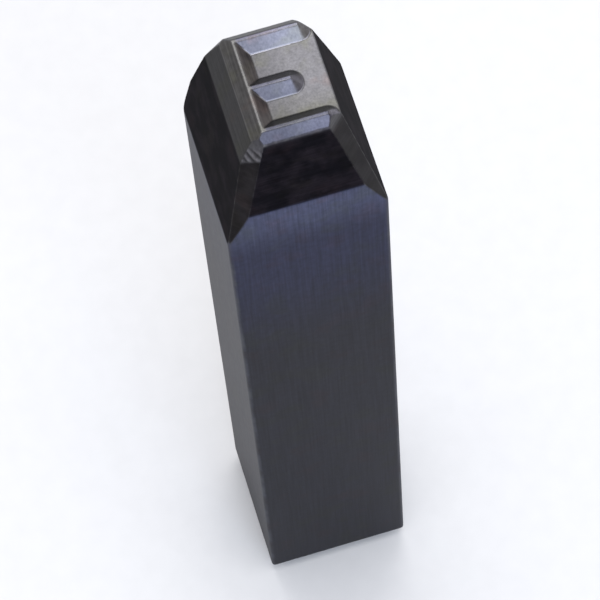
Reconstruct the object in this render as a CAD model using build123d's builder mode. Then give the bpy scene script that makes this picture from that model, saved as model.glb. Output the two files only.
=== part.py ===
from build123d import *

import os
from math import atan2, cos, radians, sin, sqrt, tan

# A steel letter punch, ground and cut from one piece of square bar.
# It stands on its struck end, in millimetres, with +Z up to the letter.
# The origin is in the middle of the struck end.
# From above, +Y is the top of the letter and +X its right.

# Square bar
overall_length = 78.0
shank_width = 12.7
arris_radius = 0.35

# Struck end, bevelled so that hammer blows don't spread its edges
struck_bevel_width = 1.3
struck_bevel_height = 1.6

# Letter E, measured over the narrow flat crests of its strokes
letter_height = 8.1
letter_width = 5.15
letter_shift = 0.15
middle_arm_length = 3.4
middle_arm_drop = 0.25
crest_width = 0.25
crest_corner = 0.08

# Strokes above the floor between them, with flanks measured from upright
relief = 0.9
flank_angle = 45.0

# Taper of the head, each length measured down from the crests
side_taper_length = 11.6
front_taper_length = 8.1
corner_taper_length = 11.8
stem_corner_taper_length = 7.4

# Top of the taper, level with the floor between the strokes
side_land = 0.23
front_trim = 0.11

# Corners ground off the top of the taper by eye, so the one behind the stem is smaller and shorter
corner_cut = 1.15
stem_corner_cut = 0.75

# Bevel that carries on below the outer flank of the stem, measured from upright
stem_bevel_angle = 23.0
stem_trim = 0.05

# Heights and half sizes that follow
half_width = shank_width / 2
floor_height = overall_length - relief
flank_run = relief * tan(radians(flank_angle))
head_half_x = letter_width / 2 + flank_run + side_land
head_half_y = letter_height / 2 + flank_run - front_trim


def facet_plane(toward, reach, height, lean):
    """Facet that faces `toward` and leans in by `lean`, at `reach` from the bar's middle at `height`."""
    outward = Vector(*toward).normalized()
    normal = outward * cos(lean) + Vector(0, 0, 1) * sin(lean)
    return Plane(origin=outward * reach + Vector(0, 0, height), z_dir=normal)


def taper_plane(toward, bar_reach, head_reach, taper_length):
    """Facet of the head, which leaves the bar at `bar_reach` and comes in to `head_reach`."""
    lean = atan2(bar_reach - head_reach, taper_length - relief)
    return facet_plane(toward, head_reach, floor_height, lean)


sides = [(1, 0), (-1, 0)]
fronts = [(0, 1), (0, -1)]
corners = {
    (1, 1): (corner_cut, corner_taper_length),
    (-1, 1): (stem_corner_cut, stem_corner_taper_length),
    (-1, -1): (corner_cut, corner_taper_length),
    (1, -1): (corner_cut, corner_taper_length),
}

# Facets of the head
head_facets = [taper_plane(d, half_width, head_half_x, side_taper_length) for d in sides]
head_facets += [taper_plane(d, half_width, head_half_y, front_taper_length) for d in fronts]
for toward, (cut, taper_length) in corners.items():
    corner_reach = (head_half_x + head_half_y - cut) / sqrt(2)
    head_facets.append(taper_plane(toward, half_width * sqrt(2), corner_reach, taper_length))

# Bevel beside the stem, which starts just above the foot of the stem's outer flank
stem_foot_reach = letter_width / 2 + flank_run - letter_shift
stem_bevel = facet_plane((-1, 0), stem_foot_reach - stem_trim, floor_height, radians(stem_bevel_angle))

# Bevels of the struck end
struck_lean = -atan2(struck_bevel_width, struck_bevel_height)
struck_bevels = [facet_plane(d, half_width, struck_bevel_height, struck_lean) for d in sides + fronts]

# Crests of the four strokes: middle X, middle Y, length along X, length along Y
crest_left = letter_shift - letter_width / 2
end_arm_y = (letter_height - crest_width) / 2
middle_arm_x = crest_left + middle_arm_length / 2
stem = (crest_left + crest_width / 2, 0, crest_width, letter_height)
arms = [
    (letter_shift, end_arm_y, letter_width, crest_width),
    (middle_arm_x, -middle_arm_drop, middle_arm_length, crest_width),
    (letter_shift, -end_arm_y, letter_width, crest_width),
]

# Raised strokes, drawn at their feet and tapered up to their crests.
# The stem has mitred corners and the arms end in half cones.
foot_corner = crest_corner + flank_run
with BuildPart() as strokes:
    x, y, length_x, length_y = stem
    with BuildSketch(Plane.XY.offset(floor_height)):
        with Locations((x, y)):
            Rectangle(length_x + 2 * flank_run, length_y + 2 * flank_run)
    extrude(amount=relief, taper=flank_angle)
    for x, y, length_x, length_y in arms:
        with BuildSketch(Plane.XY.offset(floor_height)):
            with Locations((x, y)):
                RectangleRounded(length_x + 2 * flank_run, length_y + 2 * flank_run, foot_corner)
        extrude(amount=relief, taper=flank_angle)

# Steel that is cut away around the strokes, down to the floor
with BuildPart() as waste:
    with BuildSketch(Plane.XY.offset(floor_height)):
        Rectangle(shank_width, shank_width)
    extrude(amount=relief)
    add(strokes.part, mode=Mode.SUBTRACT)

# Punch: bar with lightly rounded arrises, ground to its facets, then cut to the letter
with BuildPart() as letter_punch:
    with BuildSketch():
        RectangleRounded(shank_width, shank_width, arris_radius)
    extrude(amount=overall_length)
    for facet in head_facets + [stem_bevel] + struck_bevels:
        split(bisect_by=facet, keep=Keep.BOTTOM)
    add(waste.part, mode=Mode.SUBTRACT)

letter_punch.part.label = "letter_punch"

os.makedirs("parts", exist_ok=True)
export_step(letter_punch.part, "parts/letter_punch.step")
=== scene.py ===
from math import pi, radians

import bmesh
import bpy
import numpy as np
from mathutils import Matrix, Quaternion, Vector
from mathutils.bvhtree import BVHTree


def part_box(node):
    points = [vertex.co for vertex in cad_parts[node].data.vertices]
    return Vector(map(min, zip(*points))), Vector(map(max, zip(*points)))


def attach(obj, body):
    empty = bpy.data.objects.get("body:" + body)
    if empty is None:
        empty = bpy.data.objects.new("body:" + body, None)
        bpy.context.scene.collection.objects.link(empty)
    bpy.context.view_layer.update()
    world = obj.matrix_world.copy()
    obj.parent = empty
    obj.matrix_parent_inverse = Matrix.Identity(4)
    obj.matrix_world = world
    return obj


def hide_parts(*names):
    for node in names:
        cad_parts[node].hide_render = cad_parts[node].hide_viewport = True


# Steel letter punch with a black oxide finish, standing on its struck end. Lengths are in metres.
# From above, +Y is the top of the letter and +X its right. The front faces -Y.
# A fine grid is cast onto the solid, softened at its edges, marked by grinding and coloured by zone.

MM = 0.001

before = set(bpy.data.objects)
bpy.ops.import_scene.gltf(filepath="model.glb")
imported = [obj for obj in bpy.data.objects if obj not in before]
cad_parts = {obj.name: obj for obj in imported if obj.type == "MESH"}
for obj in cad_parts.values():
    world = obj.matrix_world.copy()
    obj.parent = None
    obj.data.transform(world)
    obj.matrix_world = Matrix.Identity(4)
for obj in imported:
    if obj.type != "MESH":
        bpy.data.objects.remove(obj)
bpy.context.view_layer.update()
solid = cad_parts["letter_punch"]
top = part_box("letter_punch")[1].z
outside = 2 * top
hair = 0.001 * MM

# Grid that is laid over the solid: a cap over the letter, then rings down to the struck end
cap_columns = 128
cap_rows = 168
cap_depth = 1.2 * MM
cap_bend = 4
touched_depth = 3.2 * MM
touched_ring_step = 0.09 * MM
head_depth = 12.6 * MM
head_ring_step = 0.17 * MM
shank_ring_step = 2.6 * MM
struck_height = 2.1 * MM
struck_ring_step = 0.14 * MM
struck_inset = 0.02

# Rounds of relaxing that soften the edges and the borders of the finishes
edge_rounds = 3
border_rounds = 1

# Lift off an edge that counts as fully rubbed
full_rub = 0.02 * MM

# Surfaces told apart by the upright part of their normals, and corners by how evenly they face X and Y
level_up = 0.95
flank_up = 0.55
bevel_up = 0.36
facet_up = 0.1
corner_turn = 0.4
arris_turn = 0.25

# Level surfaces nearer the top than this are crests, and lower ones are the floor between the strokes
crest_band = 0.3 * MM

# Lower edge of the touched-up patch, which rises towards the front and fades out
touched_slant = 0.4
touched_fade = 0.2 * MM

# Hand grinding, by the names of its inputs in Geometry Nodes
grinding = {
    "Head Wave Depth": 0.03 * MM,
    "Shank Wave Depth": 0.012 * MM,
    "Wave Size": 3.5 * MM,
    "Nick Depth": 0.03 * MM,
    "Nick Size": 0.45 * MM,
    "Stroke Depth": 0.035 * MM,
    "Stroke Spacing": 0.64 * MM,
}

# Height at which the marks start, and where nicks fall by noise and by how much an edge is rubbed
marks_start = 0.5 * MM
nick_spots = (0.56, 0.75)
nick_rub = (0.15, 0.9)

# Strokes on the touched-up patch: the way across them, how much they wander and where they end
stroke_across = Vector((0.552, -0.153, 0.820))
stroke_wander = 3
unstroked_heights = (top - 1.9 * MM, top - 1.0 * MM)


# Nodes

class Socket:
    """Output of a node. Python's arithmetic on it adds Math nodes."""

    def __init__(self, tree, socket):
        self.tree = tree
        self.socket = socket

    def math(self, operation, *values):
        """Adds a Math node that works on these values."""
        return self.tree.node("ShaderNodeMath", {"operation": operation}, dict(enumerate(values)))

    def __add__(self, other):
        return self.math("ADD", self, other)

    def __radd__(self, other):
        return self.math("ADD", other, self)

    def __sub__(self, other):
        return self.math("SUBTRACT", self, other)

    def __rsub__(self, other):
        return self.math("SUBTRACT", other, self)

    def __mul__(self, other):
        return self.math("MULTIPLY", self, other)

    def __rmul__(self, other):
        return self.math("MULTIPLY", other, self)

    def __truediv__(self, other):
        return self.math("DIVIDE", self, other)

    def __rtruediv__(self, other):
        return self.math("DIVIDE", other, self)

    def sine(self):
        """Sine of an angle in radians."""
        return self.math("SINE", self)

    def step(self, low, high):
        """0 at low and 1 at high, with a smooth rise between them and no change past them."""
        settings = {"interpolation_type": "SMOOTHSTEP"}
        inputs = {"Value": self, "From Min": low, "From Max": high}
        return self.tree.node("ShaderNodeMapRange", settings, inputs)

    def between(self, low, high):
        """Value that is low where this is 0 and high where this is 1, on a straight line."""
        return low + (high - low) * self


class Tree:
    """Node tree, whose nodes all come from one method."""

    def __init__(self, tree):
        self.tree = tree

    def node(self, kind, settings=None, inputs=None, output=0):
        """Adds a node with its settings, then the values or links of its inputs, and gives an output."""
        made = self.tree.nodes.new(kind)
        for name, value in (settings or {}).items():
            setattr(made, name, value)
        for name, value in (inputs or {}).items():
            if isinstance(value, Socket):
                self.tree.links.new(value.socket, made.inputs[name])
            else:
                made.inputs[name].default_value = value
        if made.outputs:
            return Socket(self, made.outputs[output])

    def scaled(self, vector, amounts):
        """A place or colour with each of its three parts multiplied."""
        return self.node("ShaderNodeVectorMath", {"operation": "MULTIPLY"}, {0: vector, 1: amounts})

    def lengthened(self, vector, amount):
        """A place, direction or colour multiplied by one value."""
        return self.node("ShaderNodeVectorMath", {"operation": "SCALE"}, {0: vector, "Scale": amount})

    def along(self, vector, direction):
        """How far a vector reaches along a direction."""
        inputs = {0: vector, 1: direction}
        return self.node("ShaderNodeVectorMath", {"operation": "DOT_PRODUCT"}, inputs, output="Value")

    def noise(self, place, size, detail=2):
        """Smooth noise around 0.5, with features of a size in metres."""
        return self.node("ShaderNodeTexNoise", None, {"Vector": place, "Scale": 1 / size, "Detail": detail})

    def mix(self, factor, first, second):
        """Mix of two colours."""
        # A Mix node's inputs 4 and 5 are the two that it mixes as vectors
        inputs = {0: factor, 4: first, 5: second}
        return self.node("ShaderNodeMix", {"data_type": "VECTOR"}, inputs, output=1)

    def blend(self, shares):
        """Sum of colours, each in its share. The shares add up to 1."""
        parts = [self.lengthened(colour, share) for share, colour in shares]
        total = parts[0]
        for part in parts[1:]:
            total = self.node("ShaderNodeVectorMath", {"operation": "ADD"}, {0: total, 1: part})
        return total


# Shape of the punch

def solid_tree():
    """Closed copy of the solid that rays can be cast at."""
    copy = bmesh.new()
    copy.from_mesh(solid.data)
    bmesh.ops.remove_doubles(copy, verts=copy.verts, dist=hair)
    tree = BVHTree.FromBMesh(copy)
    copy.free()
    return tree


surface = solid_tree()


def reach(direction, height):
    """Where the solid's outline at a height meets a direction, and the normal there."""
    direction = direction.normalized()
    start = direction * outside + Vector((0, 0, height))
    place, normal, _, _ = surface.ray_cast(start, -direction)
    return place, normal


def half_sizes(height):
    """Half width along X and along Y at a height."""
    across, _ = reach(Vector((1, 0, 0)), height)
    along, _ = reach(Vector((0, 1, 0)), height)
    return across.x, along.y


def ring_stations():
    """Places around the rim of the cap's grid, as column and row, in the order of a ring."""
    stations = [(i, 0) for i in range(cap_columns)]
    stations += [(cap_columns, j) for j in range(cap_rows)]
    stations += [(cap_columns - i, cap_rows) for i in range(cap_columns)]
    stations += [(0, cap_rows - j) for j in range(cap_rows)]
    return stations


def level_point(station, wide, deep):
    """Place of a column and row of the cap's grid on a rectangle of these half sizes."""
    i, j = station
    return Vector((wide * (2 * i / cap_columns - 1), deep * (2 * j / cap_rows - 1), 0))


def ring(height):
    """Points and normals of the solid's outline at a height, one for each station."""
    wide, deep = half_sizes(height)
    return [reach(level_point(station, wide, deep), height) for station in ring_stations()]


def cap_point(station, height, wide, deep):
    """Point of the top of the solid and its normal, for a column and row inside the cap's rim."""
    level = level_point(station, wide, deep)
    out = max(abs(level.x) / wide, abs(level.y) / deep)
    # Rows and columns are straight in the middle and bend to the solid's outline towards the rim
    if out > 0:
        edge, _ = reach(level, height)
        edge.z = 0
        level = level.lerp(edge * out, out**cap_bend)
    place, normal, _, _ = surface.ray_cast(level + Vector((0, 0, outside)), Vector((0, 0, -1)))
    return place, normal


def ring_heights():
    """Heights of the rings, from just below the cap down to the struck end."""
    marks = [top - cap_depth, top - touched_depth, top - head_depth, struck_height, 0]
    steps = [touched_ring_step, head_ring_step, shank_ring_step, struck_ring_step]
    heights = []
    for high, low, step in zip(marks, marks[1:], steps):
        count = round((high - low) / step)
        heights += [high + (low - high) * (i + 1) / count for i in range(count)]
    return heights


def band(upper, lower):
    """Faces between two rings, each given as the numbers of its points."""
    return [(upper[s - 1], lower[s - 1], lower[s], upper[s]) for s in range(len(upper))]


def punch_grid():
    """Points, normals and faces of a closed grid that lies on the solid."""
    cap_foot = top - cap_depth
    wide, deep = half_sizes(cap_foot)
    stations = ring_stations()
    rim = dict(zip(stations, ring(cap_foot)))
    places = [(i, j) for j in range(cap_rows + 1) for i in range(cap_columns + 1)]
    index = {place: n for n, place in enumerate(places)}
    points = [rim[p] if p in rim else cap_point(p, cap_foot, wide, deep) for p in places]
    faces = []
    for i, j in places:
        if i < cap_columns and j < cap_rows:
            faces.append((index[i, j], index[i + 1, j], index[i + 1, j + 1], index[i, j + 1]))
    upper = [index[station] for station in stations]
    for height in ring_heights():
        lower = list(range(len(points), len(points) + len(stations)))
        points += ring(max(height, hair))
        faces += band(upper, lower)
        upper = lower
    inner = list(range(len(points), len(points) + len(stations)))
    for number in upper:
        place = points[number][0] * (1 - struck_inset)
        points.append((Vector((place.x, place.y, 0)), Vector((0, 0, -1))))
    faces += band(upper, inner)
    faces.append(tuple(reversed(inner)))
    return np.array([p for p, _ in points]), np.array([n for _, n in points]), faces


def relaxed(values, edges, rounds):
    """Rows of values at the points, each drawn halfway to its neighbours' mean, for some rounds."""
    count = np.bincount(edges.ravel(), minlength=len(values))[:, None]
    for _ in range(rounds):
        total = np.zeros_like(values)
        np.add.at(total, edges[:, 0], values[edges[:, 1]])
        np.add.at(total, edges[:, 1], values[edges[:, 0]])
        values = (values + total / count) / 2
    return values


def zones(points, normals):
    """Shares of each kind of surface at the points, as columns by name that add up to 1."""
    up = normals[:, 2]
    level = np.abs(normals[:, :2])
    turn = level.min(axis=1) / np.maximum(level.max(axis=1), hair)
    depth = top - points[:, 2]
    sloped = (up > facet_up) & (up < flank_up)
    corner = sloped & (turn > corner_turn)
    near_stem = corner & (normals[:, 0] < 0) & (normals[:, 1] < 0)
    above_foot = touched_depth - depth - touched_slant * (points[:, 0] - points[:, 1])
    touched_up = near_stem * np.clip(0.5 + above_foot / touched_fade, 0, 1)
    arris = (up < facet_up) & (turn > arris_turn)
    return {
        "letter_floor": (up > level_up) & (depth > crest_band),
        "crest": (up > level_up) & (depth < crest_band),
        "flank": (up > flank_up) & (up < level_up),
        "stem_bevel": sloped & ~corner & (up > bevel_up),
        "facet": sloped & ~corner & (up < bevel_up),
        "corner_facet": corner - touched_up,
        "touched_up": touched_up,
        "arris": arris,
        "bar": (up < facet_up) & ~arris,
    }


def bare_punch():
    """Object of the punch with softened edges, whose points carry their finish and where they face."""
    points, normals, faces = punch_grid()
    mesh = bpy.data.meshes.new("punch")
    mesh.from_pydata(points.tolist(), [], faces)
    edges = np.array([tuple(edge.vertices) for edge in mesh.edges])
    soft = relaxed(points, edges, edge_rounds)
    # The flat of the struck end stays level
    soft[points[:, 2] < 2 * hair, 2] = 0
    rub = ((points - soft) * normals).sum(axis=1) / full_rub
    mesh.vertices.foreach_set("co", soft.ravel())
    columns = zones(points, normals) | {"rub": rub}
    for name, column in columns.items():
        values = relaxed(column.astype(float)[:, None], edges, border_rounds)
        mesh.attributes.new(name, "FLOAT", "POINT").data.foreach_set("value", values.ravel())
    facing = relaxed(normals, edges, border_rounds)
    mesh.attributes.new("facing", "FLOAT_VECTOR", "POINT").data.foreach_set("vector", facing.ravel())
    # Only the struck end's flat has more than four corners, and it alone isn't shaded smooth
    mesh.polygons.foreach_set("use_smooth", [len(face) == 4 for face in faces])
    mesh.update()
    punch = bpy.data.objects.new("bare_punch", mesh)
    bpy.context.scene.collection.objects.link(punch)
    return punch


# Marks of hand grinding, which only take steel away

def hand_ground():
    """Geometry Nodes tree that waves the ground faces, nicks the edges and strokes one corner facet."""
    group = bpy.data.node_groups.new("hand_ground", "GeometryNodeTree")
    group.interface.new_socket("Geometry", in_out="INPUT", socket_type="NodeSocketGeometry")
    for name in grinding:
        group.interface.new_socket(name, in_out="INPUT", socket_type="NodeSocketFloat")
    group.interface.new_socket("Material", in_out="INPUT", socket_type="NodeSocketMaterial")
    group.interface.new_socket("Geometry", in_out="OUTPUT", socket_type="NodeSocketGeometry")
    tree = Tree(group)
    entry = tree.node("NodeGroupInput").socket.node

    def given(name):
        """Input of the modifier."""
        return Socket(tree, entry.outputs[name])

    def carried(name):
        """Value that the points carry."""
        return tree.node("GeometryNodeInputNamedAttribute", {"data_type": "FLOAT"}, {"Name": name})

    place = tree.node("GeometryNodeInputPosition")
    normal = tree.node("GeometryNodeInputNormal")
    height = tree.along(place, (0, 0, 1))

    head = carried("facet") + carried("corner_facet") + carried("touched_up") + carried("stem_bevel")
    shank = carried("bar") + carried("arris")
    wave_depth = head * given("Head Wave Depth") + shank * given("Shank Wave Depth")
    wave = tree.noise(place, given("Wave Size"), detail=1) * wave_depth

    spots = tree.noise(place, given("Nick Size"))
    nick = spots.step(*nick_spots) * carried("rub").step(*nick_rub) * given("Nick Depth")

    turn = tree.along(place, stroke_across) * (2 * pi) / given("Stroke Spacing")
    swing = (turn + spots * stroke_wander).sine()
    stroked = carried("touched_up") * (1 - height.step(*unstroked_heights))
    groove = (swing * 0.5 + 0.5) * stroked
    stroke = groove * given("Stroke Depth")

    inward = (wave + nick + stroke) * height.step(marks_start, struck_height) * -1
    offset = tree.lengthened(normal, inward)
    settings = {"data_type": "FLOAT", "domain": "POINT"}
    inputs = {"Geometry": given("Geometry"), "Name": "groove", "Value": groove}
    marked = tree.node("GeometryNodeStoreNamedAttribute", settings, inputs)
    ground = tree.node("GeometryNodeSetPosition", None, {"Geometry": marked, "Offset": offset})
    plain = tree.node("GeometryNodeRealizeInstances", None, {"Geometry": ground})
    inputs = {"Geometry": plain, "Material": given("Material")}
    finished = tree.node("GeometryNodeSetMaterial", None, inputs)
    tree.node("NodeGroupOutput", None, {"Geometry": finished})
    return group


def ground_punch(bare, material):
    """The bare punch with its grinding marks and material, as a plain mesh."""
    group = hand_ground()
    modifier = bare.modifiers.new("hand_ground", "NODES")
    modifier.node_group = group
    values = grinding | {"Material": material}
    for socket in group.interface.items_tree:
        if socket.in_out == "INPUT" and socket.name in values:
            modifier[socket.identifier] = values[socket.name]
    evaluated = bare.evaluated_get(bpy.context.evaluated_depsgraph_get())
    mesh = bpy.data.meshes.new_from_object(evaluated)
    bpy.data.objects.remove(bare)
    punch = bpy.data.objects.new("punch", mesh)
    bpy.context.scene.collection.objects.link(punch)
    return punch


# Colours of black oxide steel by zone, before its casts and streaks. Some carry painted light and shade, as
# marked.
# Painted reflection: the shank's top and front colours are a blue reflection painted on the side that faces
# the front
bar_top_reflection_colour = (0.052, 0.058, 0.102)
bar_front_reflection_colour = (0.024, 0.026, 0.050)
bar_colour = (0.021, 0.021, 0.027)
facet_colour = (0.0052, 0.0048, 0.0064)
facet_bloom_colour = (0.0115, 0.0095, 0.0122)
corner_colour = (0.0100, 0.0085, 0.0098)
corner_bloom_colour = (0.0190, 0.0168, 0.0185)
corner_worn_colour = (0.085, 0.083, 0.087)
# Arrises paler, partly wear and partly a painted highlight
arris_wear_and_highlight_colour = (0.042, 0.044, 0.058)
touched_up_colour = (0.070, 0.068, 0.075)
stroked_colour = (0.135, 0.131, 0.142)
bevel_colour = (0.031, 0.030, 0.031)
# The flanks are one steel; their colours by the way they face are painted light and shade, the near flank
# lit and lilac, the far flank shaded dark
outer_flank_colour = (0.090, 0.087, 0.087)
letter_floor_colour = (0.155, 0.153, 0.165)
letter_floor_low_colour = (0.128, 0.126, 0.124)
near_flank_lit_colour = (0.125, 0.119, 0.134)
near_flank_lit_low_colour = (0.0665, 0.0640, 0.0790)
inner_flank_colour = (0.160, 0.146, 0.142)
arm_end_colour = (0.170, 0.164, 0.190)
far_flank_shaded_colour = (0.052, 0.053, 0.058)
crest_colour = (0.085, 0.084, 0.085)
arm_crest_colour = (0.105, 0.106, 0.138)
arm_crest_low_colour = (0.055, 0.056, 0.075)
rubbed_colour = (0.220, 0.218, 0.225)
# Painted highlight along the feet of the strokes that face the front
foot_highlight_colour = (0.290, 0.285, 0.320)

# Casts that the colours are multiplied by, in patches
plain_cast = (1, 1, 1)
olive_cast = (1.02, 1.03, 0.90)
brown_cast = (1.10, 0.98, 0.94)

# Sizes of the oxide's patches
patch_size = 2.6 * MM
bloom_size = 1.5 * MM
bloom_stretch = (0.8, 0.8, 1)
worn_size = 0.9 * MM
mottle_size = 0.5 * MM

# Grinding streaks, drawn out along the directions that are small here, and their widths
shank_streak = (1, 1, 0.03)
shank_streak_width = 0.16 * MM
facet_streak = (0.05, 0.05, 1)
facet_streak_width = 0.12 * MM
letter_streak = (1, 0.03, 1)
letter_streak_width = 0.14 * MM

# Where a finish, a painted reflection or a painted highlight starts and where it is full, by height on the
# punch
# Painted blue reflection on the shank's front, and its lighter band near the head
front_reflection_heights = (45 * MM, 62 * MM)
top_reflection_heights = (63 * MM, 69 * MM)
corner_worn_heights = (top - 1.7 * MM, top - 0.7 * MM)
off_floor_heights = (top - 0.6 * MM, top - 0.3 * MM)

# The same by place across the letter
arm_places = (-2.2 * MM, -1.9 * MM)
arm_end_places = (-0.8 * MM, 0.2 * MM)
# Painted shade: the letter grows darker towards its stem, between these places
stem_shade_places = (-1.0 * MM, 1.5 * MM)

# Places up the letter between which its shading rises, and the shares of that rise where its floor pales
letter_places = (-5 * MM, 4 * MM)
pale_floor_shares = (0.05, 0.45)

# Where a finish, painted light or painted shade starts and where it is full, by how squarely a surface
# faces one way
facing_one_way = (0.2, 0.6)
# Painted blue reflection on the shank, by how squarely it faces the front
facing_front_reflection = (0.5, 0.9)
# Painted highlight at the feet of the strokes, by how squarely they face the front
facing_foot_highlight = (0.05, 0.3)

# The same by noise, low noise where the pair falls, and by how much an edge is rubbed
bloom_noise = (0.38, 0.66)
worn_noise = (0.42, 0.62)
arris_noise = (0.35, 0.65)
olive_noise = (0.52, 0.68)
brown_noise = (0.45, 0.30)
pale_rub = (0.1, 1)
# Inner corners that get painted shade, by how far the softened edge turns in
hollow_rub = (0.01, 0.3)

# Least and most of a finish, of a tone or of painted light and shade, which multiplies a colour
# Share of the painted blue reflection on the shank, least on sides turned from the front and most on the
# front
front_reflection_share = (0.3, 1)
# Painted shade towards the letter's stem, on its flanks and crests and on its floor
stem_shade_tone = (0.78, 1.11)
stem_shade_floor_tone = (0.824, 1.088)
mottle_tone = (0.65, 1.35)
streak_tone = (0.5, 1.5)
worn_share = (0.25, 1)
# Painted highlight at the feet of the strokes, least at the letter's foot
foot_highlight_share = (0.35, 1)

# How pale rubbed edges are by place, how dark the painted shade in inner corners is, and how dark grooves
# are
pale_elsewhere = 0.3
pale_on_stem = 0.85
pale_on_arms = 0.55
pale_strength = 0.6
# Painted shade in the inner corners
painted_corner_shade = 0.35
groove_shade = 0.75

# How metallic the oxide looks, from bare steel at 1 to a dull black layer
facet_metal = 0.11
bevel_metal = 0.40
bar_metal = 0.50

# Roughness, and what the letter's floor, the facets, mottling and streaks add to it
ground_roughness = 0.36
floor_roughness = 0.22
facet_roughness = 0.06
mottle_roughness = 0.12
streak_roughness = 0.1

# Fine relief of mottling and streaks
relief_strength = 0.6
relief_height = 0.008 * MM


def up_the_letter(tree, place):
    """0 at the foot of the letter and 1 at its top."""
    return tree.along(place, (0, 1, 0)).step(*letter_places)


def on_the_arms(tree, place):
    """0 on the stem and 1 on the arms."""
    return tree.along(place, (1, 0, 0)).step(*arm_places)


def turned_to(tree, facing, way):
    """1 where the surface faces this way and 0 where it faces another."""
    return tree.along(facing, way).step(*facing_one_way)


def shank_tint_with_reflection(tree, place, facing):
    """Colour of the shank, with a painted blue reflection on the side that faces the front, strongest near
    the head.
    """
    height = tree.along(place, (0, 0, 1))
    front_reflection = tree.along(facing, (0, -1, 0)).step(*facing_front_reflection).between(*front_reflection_share)
    tint = tree.mix(height.step(*front_reflection_heights) * front_reflection, bar_colour, bar_front_reflection_colour)
    return tree.mix(height.step(*top_reflection_heights) * front_reflection, tint, bar_top_reflection_colour)


def letter_tints(tree, place, facing):
    """Colours of the letter's floor, flanks and crests, darker towards its foot, with painted shade towards
    its stem and painted light and shade by the way each flank faces.
    """
    across = tree.along(place, (1, 0, 0))
    up_letter = up_the_letter(tree, place)
    # Painted shade, darker towards the stem
    stem_shade = across.step(*stem_shade_places).between(*stem_shade_tone)
    stem_shade_floor = across.step(*stem_shade_places).between(*stem_shade_floor_tone)
    floor = tree.mix(up_letter.step(*pale_floor_shares), letter_floor_low_colour, letter_floor_colour)
    floor = tree.lengthened(floor, stem_shade_floor)
    near_flank_lit = tree.lengthened(tree.mix(up_letter, near_flank_lit_low_colour, near_flank_lit_colour), stem_shade)
    arm_crest = tree.lengthened(tree.mix(up_letter, arm_crest_low_colour, arm_crest_colour), stem_shade)
    inner_flank = tree.mix(across.step(*arm_end_places), inner_flank_colour, arm_end_colour)
    # Painted light and shade: each flank is coloured by the way it faces
    flank = tree.mix(turned_to(tree, facing, (1, 0, 0)), outer_flank_colour, inner_flank)
    flank = tree.mix(turned_to(tree, facing, (0, 1, 0)), flank, far_flank_shaded_colour)
    flank = tree.mix(turned_to(tree, facing, (0, -1, 0)), flank, near_flank_lit)
    return floor, flank, tree.mix(on_the_arms(tree, place), crest_colour, arm_crest)


def grinding_streaks(tree, place, facets, stem_sides):
    """Noise drawn out along the shank, across the facets and along the sides of the letter's stem."""
    along_shank = tree.noise(tree.scaled(place, shank_streak), shank_streak_width, detail=3)
    across_facets = tree.noise(tree.scaled(place, facet_streak), facet_streak_width, detail=3)
    along_letter = tree.noise(tree.scaled(place, letter_streak), letter_streak_width, detail=3)
    return stem_sides.between(facets.between(along_shank, across_facets), along_letter)


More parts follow.
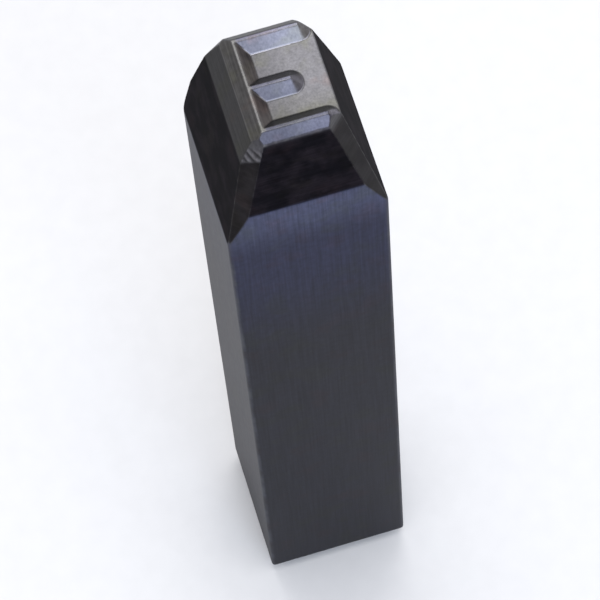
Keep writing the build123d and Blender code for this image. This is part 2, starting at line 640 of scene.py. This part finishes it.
def black_oxide_steel():
    """Black oxide over ground steel, paler where the letter is rubbed, with brown and olive casts."""
    material = bpy.data.materials.new("ground_black_oxide")
    material.use_nodes = True
    tree = Tree(material.node_tree)
    shader = material.node_tree.nodes["Principled BSDF"]

    def carried(name, output="Fac"):
        """Value that the points carry."""
        return tree.node("ShaderNodeAttribute", {"attribute_name": name}, output=output)

    place = tree.node("ShaderNodeTexCoord", output="Object")
    height = tree.along(place, (0, 0, 1))
    facing = carried("facing", output="Vector")
    letter_floor = carried("letter_floor")
    flank = carried("flank")
    crest = carried("crest")
    bevel = carried("stem_bevel")
    facet = carried("facet")
    corner = carried("corner_facet")
    arris = carried("arris")
    bar = carried("bar")
    rub = carried("rub")
    patches = tree.noise(place, patch_size, detail=3)
    mottle = tree.noise(place, mottle_size, detail=4)
    bloom = tree.noise(tree.scaled(place, bloom_stretch), bloom_size, detail=5).step(*bloom_noise)

    # Colours of the zones
    # The shank's colour, with its painted blue reflection on the front
    bar_tint_with_reflection = shank_tint_with_reflection(tree, place, facing)
    floor_tint, flank_tint, crest_tint = letter_tints(tree, place, facing)
    corner_tint = tree.mix(bloom, corner_colour, corner_bloom_colour)
    touched_up_tint = tree.mix(height.step(*unstroked_heights), stroked_colour, touched_up_colour)
    colour = tree.blend([
        (bar, bar_tint_with_reflection),
        (facet, tree.mix(bloom, facet_colour, facet_bloom_colour)),
        (corner, tree.mix(height.step(*corner_worn_heights), corner_tint, corner_worn_colour)),
        # Arrises paler in patches, partly wear and partly a painted highlight
        (arris, tree.mix(patches.step(*arris_noise), bar_tint_with_reflection, arris_wear_and_highlight_colour)),
        (carried("touched_up"), touched_up_tint),
        (bevel, bevel_colour),
        (flank, flank_tint),
        (letter_floor, floor_tint),
        (crest, crest_tint),
    ])

    # Casts, mottling and streaks of the oxide
    colour = tree.scaled(colour, tree.mix(patches.step(*olive_noise), plain_cast, olive_cast))
    colour = tree.scaled(colour, tree.mix(patches.step(*brown_noise), plain_cast, brown_cast))
    colour = tree.lengthened(colour, mottle.between(*mottle_tone))
    toward_front = turned_to(tree, facing, (0, -1, 0))
    toward_back = turned_to(tree, facing, (0, 1, 0))
    stem_sides = bevel + flank * (1 - toward_front) * (1 - toward_back)
    streak = grinding_streaks(tree, place, facet + corner, stem_sides)
    colour = tree.lengthened(colour, streak.between(*streak_tone))

    # Edges rubbed pale, a painted highlight along the feet of the strokes that face the front, painted
    # shade in the other inner corners, and the grooves of the strokes darker
    worn = tree.noise(place, worn_size).step(*worn_noise).between(*worn_share)
    letter = crest + flank + letter_floor
    pale_letter = on_the_arms(tree, place).between(pale_on_stem, pale_on_arms)
    pale = rub.step(*pale_rub) * worn * letter.between(pale_elsewhere, pale_letter)
    # Painted shade in the inner corners, where the soft edges turn in
    inner_corner = (0 - rub).step(*hollow_rub)
    at_floor = 1 - height.step(*off_floor_heights)
    # Painted highlight at the feet of the strokes that face the front
    near_foot = inner_corner * at_floor * tree.along(facing, (0, -1, 0)).step(*facing_foot_highlight)
    foot_highlight = near_foot * up_the_letter(tree, place).between(*foot_highlight_share)
    colour = tree.mix(pale * pale_strength, colour, rubbed_colour)
    colour = tree.mix(foot_highlight, colour, foot_highlight_colour)
    # Painted shade in the inner corners, except at the feet that carry the painted highlight
    light = 1 - painted_corner_shade * (inner_corner - near_foot)
    colour = tree.lengthened(colour, light * (1 - groove_shade * carried("groove")))

    # Gloss and fine relief
    dull = (1 - facet_metal) * facet + (1 - bevel_metal) * bevel + (1 - bar_metal) * (bar + arris)
    roughness = ground_roughness + floor_roughness * letter_floor + facet_roughness * (facet + corner)
    roughness = roughness + mottle_roughness * (mottle - 0.5) + streak_roughness * (streak - 0.5)
    relief = {"Strength": relief_strength, "Distance": relief_height, "Height": (mottle + streak) / 2}
    shader.inputs["Specular IOR Level"].default_value = 0
    links = material.node_tree.links
    links.new(colour.socket, shader.inputs["Base Color"])
    links.new((1 - dull).socket, shader.inputs["Metallic"])
    links.new(roughness.socket, shader.inputs["Roughness"])
    links.new(tree.node("ShaderNodeBump", None, relief).socket, shader.inputs["Normal"])
    return material


punch = ground_punch(bare_punch(), black_oxide_steel())
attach(punch, "root")
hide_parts("letter_punch")


# Camera, fitted to the photograph: where it stands, seen from the middle of the letter
camera_azimuth = radians(-11.4)
camera_elevation = radians(60.0)
camera_distance = 250 * MM
camera_roll = radians(-5.8)
camera_lens = 205
camera_near = 1 * MM
aim_height = 41 * MM

camera = bpy.data.objects.new("camera", bpy.data.cameras.new("camera"))
bpy.context.scene.collection.objects.link(camera)
bpy.context.scene.camera = camera
turned = Matrix.Rotation(camera_azimuth, 3, "Z") @ Matrix.Rotation(-camera_elevation, 3, "X")
toward_camera = turned @ Vector((0, -1, 0))
camera.location = Vector((0, 0, top)) + toward_camera * camera_distance
aim = Vector((0, 0, aim_height)) - camera.location
camera.rotation_mode = "QUATERNION"
camera.rotation_quaternion = aim.to_track_quat("-Z", "Y") @ Quaternion((0, 0, 1), camera_roll)
camera.data.lens = camera_lens
camera.data.clip_start = camera_near


# Stage
floor_half = 1.5
paper_colour = (0.64, 0.64, 0.65)
paper_fleck_colour = (0.60, 0.60, 0.61)
paper_fleck_size = 2 * MM
paper_roughness = 0.8
studio_colour = (0.85, 0.85, 0.87, 1)


def pale_paper():
    """Plain pale paper with faint flecks."""
    material = bpy.data.materials.new("pale_paper")
    material.use_nodes = True
    tree = Tree(material.node_tree)
    shader = material.node_tree.nodes["Principled BSDF"]
    place = tree.node("ShaderNodeTexCoord", output="Object")
    flecks = tree.noise(place, paper_fleck_size, detail=3)
    colour = tree.mix(flecks, paper_colour, paper_fleck_colour)
    shader.inputs["Roughness"].default_value = paper_roughness
    material.node_tree.links.new(colour.socket, shader.inputs["Base Color"])
    return material


def pale_floor():
    """Square of pale paper that the punch stands on."""
    corners = [(-floor_half, -floor_half, 0), (floor_half, -floor_half, 0)]
    corners += [(floor_half, floor_half, 0), (-floor_half, floor_half, 0)]
    mesh = bpy.data.meshes.new("floor")
    mesh.from_pydata(corners, [], [(0, 1, 2, 3)])
    mesh.materials.append(pale_paper())
    floor = bpy.data.objects.new("floor", mesh)
    bpy.context.scene.collection.objects.link(floor)
    return floor


pale_floor()


def softbox(name, place, size, power, colour):
    """Square area light that faces the letter."""
    light = bpy.data.lights.new(name, "AREA")
    light.size = size
    light.energy = power
    light.color = colour
    lamp = bpy.data.objects.new(name, light)
    bpy.context.scene.collection.objects.link(lamp)
    lamp.location = place
    lamp.rotation_mode = "QUATERNION"
    lamp.rotation_quaternion = (Vector((0, 0, top)) - lamp.location).to_track_quat("-Z", "Y")


softbox("overhead", place=(0.05, 0.25, 0.55), size=0.35, power=1.6, colour=(1, 0.985, 0.97))
softbox("bridge", place=(0.04, -0.10, 0.62), size=0.22, power=1.0, colour=(1, 1, 1))
softbox("front", place=(0.03, -0.5, 0.35), size=0.35, power=1.75, colour=(0.68, 0.80, 1))

world = bpy.data.worlds.new("studio")
bpy.context.scene.world = world
world.use_nodes = True
world.node_tree.nodes["Background"].inputs["Color"].default_value = studio_colour
bpy.context.scene.view_settings.view_transform = "Standard"
